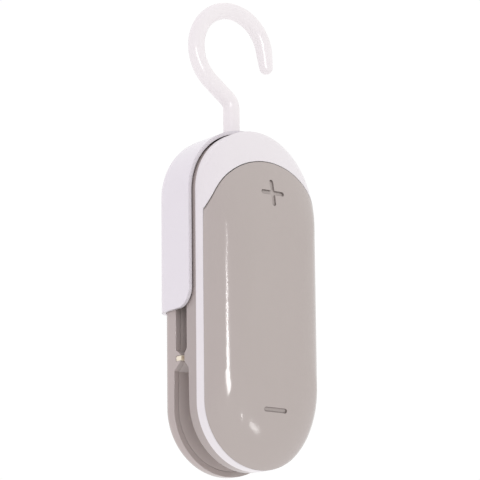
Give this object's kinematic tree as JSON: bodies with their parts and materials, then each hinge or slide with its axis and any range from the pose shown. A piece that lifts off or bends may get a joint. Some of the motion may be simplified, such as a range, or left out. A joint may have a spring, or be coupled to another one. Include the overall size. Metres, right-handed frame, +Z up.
{
  "type": "handheld bag heat sealer",
  "caption": "Hanging pinch-type bag heat sealer: two long round-ended jaws hinged under a white hood, sealing ridge, clip-on battery cover and a swivel hook.",
  "frame": {"origin": "centre of the rail the hook hangs on, which is the centre of the hook's loop", "axes": "+Z up along the body's length, front cover and hook opening seen from -Y, +X to the right as seen from the front"},
  "size_m": [0.047, 0.036, 0.1636],
  "materials": {
    "white_abs": "glossy white ABS moulding",
    "taupe_abs": "glossy warm grey-brown ABS moulding",
    "pad_silicone": "matt cream silicone",
    "nonstick_tape": "smooth glass-cloth non-stick tape",
    "phenolic": "matt phenolic",
    "mica": "pressed mica board",
    "ribbon_alloy": "flat resistance ribbon",
    "contact_nickel": "nickel-plated spring strip",
    "contact_brass": "stamped brass",
    "steel_pin": "drawn steel",
    "steel_screw": "zinc-plated steel",
    "spring_steel": "drawn spring wire",
    "cell_jacket": "printed shrink sleeve, plain",
    "cell_cap_steel": "nickel-plated steel",
    "lead_red": "PVC wire sleeve",
    "lead_black": "PVC wire sleeve"
  },
  "bodies": {
    "hook": {"hook": "white_abs", "hook_washer": "steel_screw", "hook_screw": "steel_screw"},
    "base": {"hinge_hood": "white_abs", "rear_jaw": "taupe_abs", "rear_plate": "taupe_abs", "silicone_pad": "pad_silicone", "hinge_pin": "steel_pin", "hood_screws": "steel_screw", "rear_screws": "steel_screw", "return_spring": "spring_steel"},
    "press_jaw": {"front_jaw": "taupe_abs", "heater_block": "phenolic", "mica_sheet": "mica", "heater_strip": "ribbon_alloy", "heater_tabs": "contact_brass", "ptfe_cover": "nonstick_tape", "front_shell": "white_abs", "jaw_screws": "steel_screw", "cell_left": "cell_jacket", "cell_right": "cell_jacket", "cell_left_cap": "cell_cap_steel", "cell_right_cap": "cell_cap_steel", "cell_springs": "spring_steel", "supply_contact": "contact_nickel", "link_contact": "contact_nickel", "return_contact": "contact_nickel", "leaf_anchor": "contact_brass", "fixed_contact": "contact_brass", "lead_supply": "lead_red", "lead_heater": "lead_red", "lead_return": "lead_black"},
    "battery_cover": {"front_cover": "taupe_abs"},
    "contact_leaf": {"moving_leaf": "contact_brass"}
  },
  "joints": [
    {"name": "hook_swivel", "type": "hinge", "parent": "hook", "child": "base", "pos_m": [0, 0, -0.0303], "axis": [0, 0, 1], "continuous": true},
    {"name": "press_hinge", "type": "hinge", "parent": "base", "child": "press_jaw", "pos_m": [0, -0.00055, -0.0443], "axis": [1, 0, 0], "range_deg": [0, 1.33], "stiffness_Nm_per_rad": 1.2, "springref_deg": -2.86, "deforming": ["return_spring"]},
    {"name": "cover_pull", "type": "slide", "parent": "press_jaw", "child": "battery_cover", "axis": [0, -1, 0], "range_m": [0, 0.03]},
    {"name": "leaf_bend", "type": "hinge", "parent": "press_jaw", "child": "contact_leaf", "pos_m": [0, -0.00715, -0.0647], "axis": [1, 0, 0], "range_deg": [-2.9, 0]}
  ],
  "couplings": [
    {"joint": "leaf_bend", "follows": "press_hinge", "ratio": -2.159}
  ]
}
